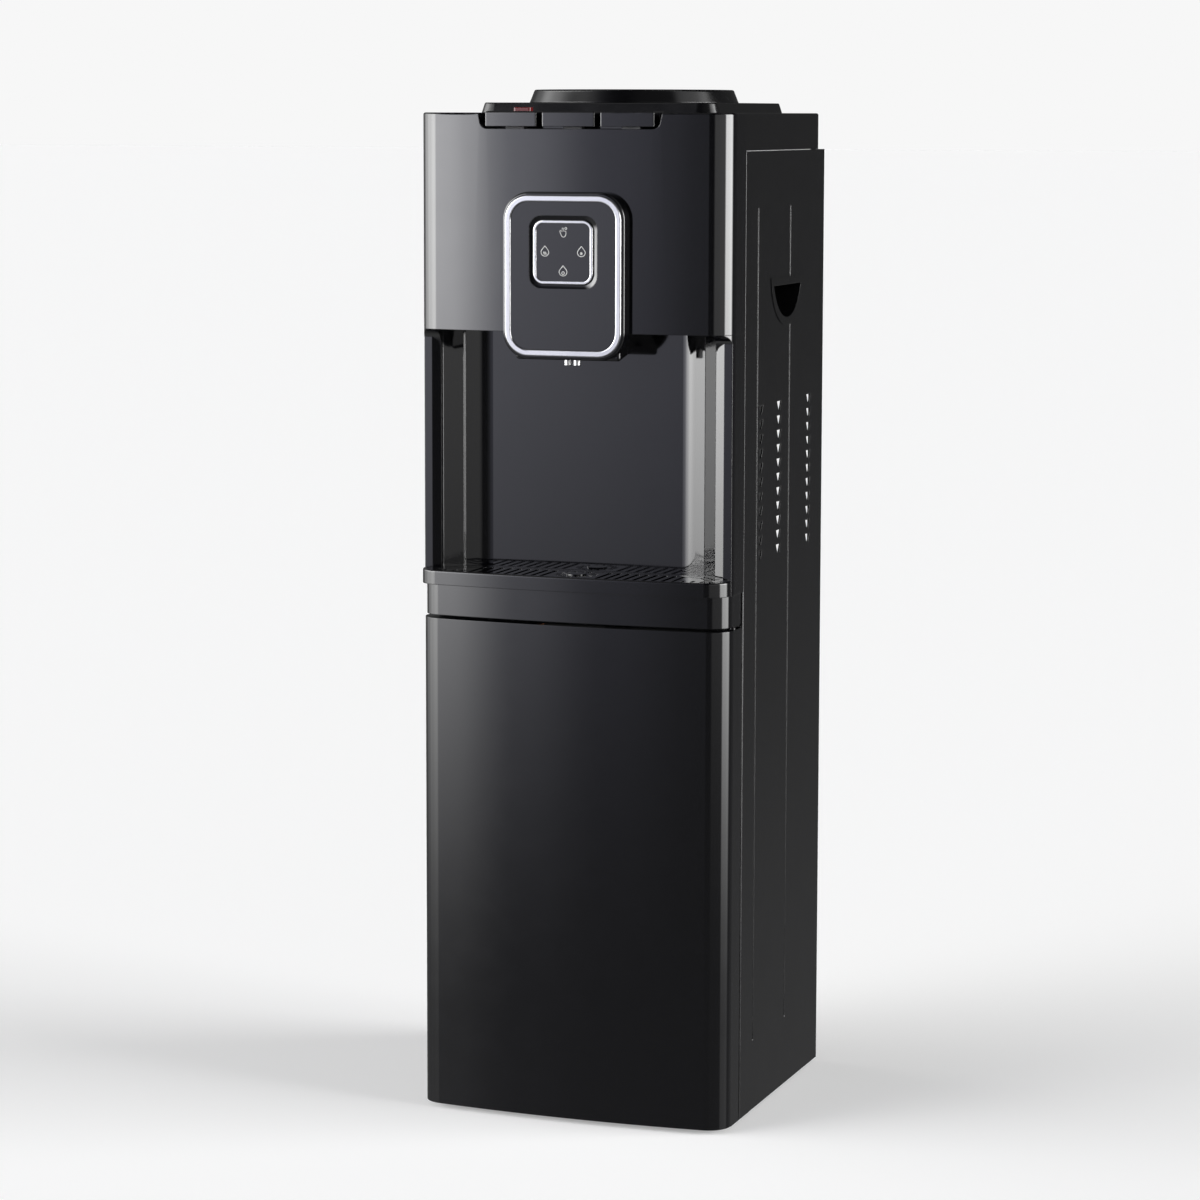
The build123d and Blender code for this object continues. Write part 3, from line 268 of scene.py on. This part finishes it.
EDGE = 0.8 * MM
STEEL_EDGE = 1.2 * MM
MATERIALS = {
    "gloss_black": finish_material(
        "polished_black_abs", (0.0018, 0.0018, 0.0024), 0.07,
        spread=0.02, bend=0.02 * MM, edge=EDGE, ior=1.55, mottle=0.15),
    "key_black": finish_material(
        "key_black_abs", (0.0026, 0.0026, 0.0032), 0.12,
        spread=0.02, edge=EDGE, ior=1.55, grain=0.002 * MM, grain_scale=2500.0, mottle=0.15),
    "satin_black": finish_material(
        "satin_black_abs", (0.0026, 0.0026, 0.0030), 0.16,
        spread=0.03, edge=EDGE, grain=0.008 * MM, grain_scale=1800.0, mottle=0.15),
    "matte_black": finish_material(
        "grained_black_abs", (0.0026, 0.0026, 0.0030), 0.22,
        spread=0.04, edge=EDGE, grain=0.01 * MM, grain_scale=1400.0, mottle=0.2),
    "black_steel": finish_material(
        "powder_coated_steel", (0.0026, 0.0026, 0.0031), 0.22,
        spread=0.03, edge=STEEL_EDGE, grain=0.006 * MM, grain_scale=1500.0, bend=0.06 * MM,
        bend_scale=9.0, mottle=0.15),
    "rear_steel": finish_material(
        "grey_coated_steel", (0.030, 0.030, 0.033), 0.42,
        spread=0.05, grain=0.01 * MM, grain_scale=1500.0, mottle=0.1),
    "bright_chrome": finish_material(
        "silver_trim", (0.56, 0.56, 0.57), 0.20,
        metallic=1.0, spread=0.03, mottle=0.03),
    "touch_glass": finish_material(
        "dark_touch_window", (0.0022, 0.0022, 0.0030), 0.05,
        spread=0.01, ior=1.55, mottle=0.1),
    "circuit_board": finish_material(
        "green_laminate", (0.010, 0.075, 0.030), 0.45,
        spread=0.08, mottle=0.3),
    "matte_grey": finish_material(
        "grey_plastic", (0.16, 0.16, 0.165), 0.5,
        spread=0.05, grain=0.01 * MM, mottle=0.08),
    "steel_tube": finish_material(
        "bright_steel_tube", (0.80, 0.80, 0.80), 0.45,
        metallic=1.0, spread=0.04, stretch=(1.0, 1.0, 0.1), mottle=0.04),
    "red_plastic": finish_material(
        "red_plastic", (0.10, 0.005, 0.006), 0.25,
        spread=0.04, mottle=0.08),
    "green_plastic": finish_material(
        "green_plastic", (0.010, 0.20, 0.035), 0.25,
        spread=0.04, mottle=0.08),
    "white_plastic": finish_material(
        "white_polypropylene", (0.62, 0.62, 0.60), 0.35,
        spread=0.05, mottle=0.04),
    "stainless": finish_material(
        "brushed_stainless", (0.52, 0.52, 0.53), 0.26,
        metallic=1.0, spread=0.08, stretch=(1.0, 1.0, 22.0), grain=0.004 * MM, grain_scale=160.0,
        mottle=0.08),
    "foam": finish_material(
        "bead_foam", (0.72, 0.72, 0.69), 0.85,
        spread=0.05, grain=0.3 * MM, grain_scale=260.0, mottle=0.08),
    "copper": finish_material(
        "drawn_copper", (0.62, 0.28, 0.15), 0.28,
        metallic=1.0, spread=0.10, mottle=0.2),
    "silicone": finish_material(
        "silicone_hose", (0.58, 0.58, 0.55), 0.5,
        spread=0.05, mottle=0.05),
    "compressor_black": finish_material(
        "black_enamel", (0.006, 0.006, 0.006), 0.30,
        spread=0.08, grain=0.03 * MM, grain_scale=420.0, mottle=0.2),
    "condenser_black": finish_material(
        "black_wire_enamel", (0.008, 0.008, 0.008), 0.35,
        spread=0.05, mottle=0.2),
    "rubber": finish_material(
        "black_rubber", (0.010, 0.010, 0.010), 0.65,
        spread=0.08, grain=0.02 * MM, grain_scale=900.0, mottle=0.2),
    "liner_grey": finish_material(
        "moulded_liner", (0.030, 0.030, 0.033), 0.5,
        spread=0.06, grain=0.03 * MM, grain_scale=700.0, mottle=0.12),
    "zinc_steel": finish_material(
        "zinc_plated_steel", (0.48, 0.48, 0.46), 0.32,
        metallic=1.0, spread=0.08, mottle=0.15),
}


def dress_cad():
    """Every CAD node takes the material of its slot in the record."""
    for part in frame["record"]["subparts"]:
        piece = frame["nodes"][part["node"]]
        made = MATERIALS[part["material_slot"]]
        if not piece.material_slots:
            piece.data.materials.append(made)
        for place in piece.material_slots:
            place.material = made


def add_piece(piece, body, slot):
    """Link a new piece, give it its material and fix it to a body."""
    bpy.context.scene.collection.objects.link(piece)
    piece.data.materials.append(MATERIALS[slot])
    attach(piece, body)


def mesh_piece(name, points, faces, body, slot):
    mesh = bpy.data.meshes.new(name)
    mesh.from_pydata(points, [], faces)
    shape = bmesh.new()
    shape.from_mesh(mesh)
    bmesh.ops.recalc_face_normals(shape, faces=shape.faces)
    shape.to_mesh(mesh)
    shape.free()
    for face in mesh.polygons:
        face.use_smooth = True
    add_piece(bpy.data.objects.new(name, mesh), body, slot)


# ---------------------------------------------------------------- control module

CORNER_STEPS = 8

# The dished ring round the bezel: its edges are margins beyond the bezel's half width.
DISH_INNER = 0.1 * MM
DISH_OUTER = 3.9 * MM
DISH_DEPTH = 1.2 * MM
DISH_STEPS = 6
DISH_STRAIGHT = 0.65
DISH_CURVED = 0.35
DISH_CORNER = 10.0 * MM
DISH_CORNER_GROWTH = 0.5
DISH_SETBACK = 0.05 * MM
DISH_LIP = 0.25 * MM

# Icons: distance from the plate's middle, heights, half the line's thickness, and the gap to the plate.
ICON_REACH = 18.0 * MM
ICON_SIZE = 8.8 * MM
HAND_SIZE = 12.0 * MM
ICON_LINE = 0.32 * MM
ICON_GAP = 0.05 * MM


def rounded_square(half, radius):
    """Outline of a rounded square in X and Z, counter-clockwise."""
    points = []
    for corner, (sx, sz) in enumerate(((1, 1), (-1, 1), (-1, -1), (1, -1))):
        for step in range(CORNER_STEPS + 1):
            angle = math.radians(90.0 * (corner + step / CORNER_STEPS))
            points.append((sx * (half - radius) + radius * math.cos(angle),
                           sz * (half - radius) + radius * math.sin(angle)))
    return points


def touch_surround():
    """Dished ring that slopes from the module's face down to the bright bezel."""
    low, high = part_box("touch_bezel")
    centre_x, centre_z = (low.x + high.x) / 2, (low.z + high.z) / 2
    face_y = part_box("module_shell")[0].y
    bezel_half = (high.x - low.x) / 2
    inner, outer = bezel_half + DISH_INNER, bezel_half + DISH_OUTER
    rings = []
    for step in range(DISH_STEPS + 1):
        share = step / DISH_STEPS
        half = outer + (inner - outer) * share
        depth = DISH_DEPTH * (DISH_STRAIGHT * share + DISH_CURVED * math.sin(share * math.pi / 2))
        outline = rounded_square(half, DISH_CORNER + (half - inner) * DISH_CORNER_GROWTH)
        rings.append([(centre_x + x, face_y + DISH_SETBACK + depth, centre_z + z) for x, z in outline])
    rings.append([(x, y + DISH_LIP, z) for x, y, z in rings[-1]])
    count = len(rings[0])
    points = [point for ring in rings for point in ring]
    faces = []
    for ring in range(len(rings) - 1):
        for spot in range(count):
            after = (spot + 1) % count
            faces.append((ring * count + spot, ring * count + after,
                          (ring + 1) * count + after, (ring + 1) * count + spot))
    mesh_piece("touch_surround", points, faces, CABINET, "gloss_black")


def line_icon(name, strokes):
    """Printed line icon: each stroke is a list of X, Y, Z points and whether it closes."""
    data = bpy.data.curves.new(name, "CURVE")
    data.dimensions = "3D"
    data.bevel_depth = ICON_LINE
    data.bevel_resolution = 1
    for points, closed in strokes:
        spline = data.splines.new("POLY")
        spline.points.add(len(points) - 1)
        for knot, point in zip(spline.points, points):
            knot.co = (*point, 1.0)
        spline.use_cyclic_u = closed
    add_piece(bpy.data.objects.new(name, data), CABINET, "white_plastic")


def drop_outline(size):
    """Water drop: a round foot that runs up to a point."""
    steps = 28
    points = []
    for step in range(steps):
        turn = 2 * math.pi * step / steps
        lift = max(0.0, math.cos(turn)) ** 3
        x = size * 0.44 * math.sin(turn) * (1.0 - 0.75 * lift)
        z = size * (0.42 * math.cos(turn) + 0.24 * lift)
        points.append((x, z))
    return points


def circle_outline(radius, x, z):
    steps = 16
    turns = [2 * math.pi * step / steps for step in range(steps)]
    return [(x + radius * math.sin(turn), z + radius * math.cos(turn)) for turn in turns]


def steam_lines(size):
    """Three wavy upright lines, side by side."""
    lines = []
    for column in (-1.2, 0.0, 1.2):
        lines.append([(size * (0.10 * column + 0.04 * math.sin(step)), size * (-0.26 + 0.05 * step))
                      for step in range(7)])
    return lines


def snowflake(size):
    """Three bars crossed at their middles."""
    bars = []
    for turn in (0.0, math.pi / 3, 2 * math.pi / 3):
        bars.append([(size * 0.17 * math.cos(turn) * end, size * (-0.10 + 0.17 * math.sin(turn) * end))
                     for end in (-1, 1)])
    return bars


def hand_outline(size):
    """Raised hand with its thumb out, drawn from the fingertips round the palm."""
    palm = [(-0.08, 0.36), (-0.08, 0.06), (-0.21, 0.20), (-0.28, 0.12), (-0.18, -0.12), (-0.10, -0.28),
            (0.04, -0.34), (0.17, -0.26), (0.24, -0.10), (0.24, 0.10), (0.14, 0.14), (0.05, 0.12),
            (0.02, 0.36)]
    return [(size * x, size * z) for x, z in palm]


def touch_icons():
    """Four plain symbols: a hand for the lock, and drops for hot, cold and room temperature."""
    low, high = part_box("touch_plate")
    centre_x, centre_z = (low.x + high.x) / 2, (low.z + high.z) / 2
    face_y = low.y - ICON_GAP

    def placed(outlines, x, z):
        return [([(centre_x + x + px, face_y, centre_z + z + pz) for px, pz in outline], closed)
                for outline, closed in outlines]

    drop = (drop_outline(ICON_SIZE), True)
    steam = [(line, False) for line in steam_lines(ICON_SIZE)]
    flake = [(bar, False) for bar in snowflake(ICON_SIZE)]
    ring = (circle_outline(ICON_SIZE * 0.15, 0.0, -ICON_SIZE * 0.12), True)
    fingertip = (circle_outline(HAND_SIZE * 0.08, HAND_SIZE * 0.22, HAND_SIZE * 0.34), True)
    line_icon("icon_hot", placed([drop, *steam], -ICON_REACH, 0.0))
    line_icon("icon_cold", placed([drop, *flake], ICON_REACH, 0.0))
    line_icon("icon_ambient", placed([drop, ring], 0.0, -ICON_REACH))
    line_icon("icon_lock", placed([(hand_outline(HAND_SIZE), True), fingertip], 0.0, ICON_REACH))


# ---------------------------------------------------------------- side edges

# The ridge: half its width, its height, its distance behind the seam, and the gap at each end.
ROLL_HALF = 1.5 * MM
ROLL_RISE = 0.75 * MM
ROLL_SETBACK = 0.4 * MM
ROLL_END_GAP = 1.0 * MM
ROLL_STEPS = 12


def rolled_edge(side, name):
    """Rolled front edge of a steel side: a low rounded ridge beside the seam, full height."""
    low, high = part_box(name.replace("rolled_edge", "side_panel"))
    skin = high.x if side > 0 else -low.x
    front = low.y + ROLL_SETBACK
    radius = (ROLL_HALF * ROLL_HALF + ROLL_RISE * ROLL_RISE) / (2 * ROLL_RISE)
    widest = math.asin(ROLL_HALF / radius)
    points = []
    for z in (low.z + ROLL_END_GAP, high.z - ROLL_END_GAP):
        for step in range(ROLL_STEPS + 1):
            turn = -widest + 2 * widest * step / ROLL_STEPS
            points.append((side * (skin + ROLL_RISE - radius + radius * math.cos(turn)),
                           front + ROLL_HALF + radius * math.sin(turn), z))
    count = ROLL_STEPS + 1
    faces = [(step, step + 1, count + step + 1, count + step) for step in range(ROLL_STEPS)]
    mesh_piece(name, points, faces, CABINET, "black_steel")


# ---------------------------------------------------------------- build

make_camera()
make_studio()
make_floor()
dress_cad()
touch_surround()
touch_icons()
rolled_edge(-1, "left_rolled_edge")
rolled_edge(1, "right_rolled_edge")
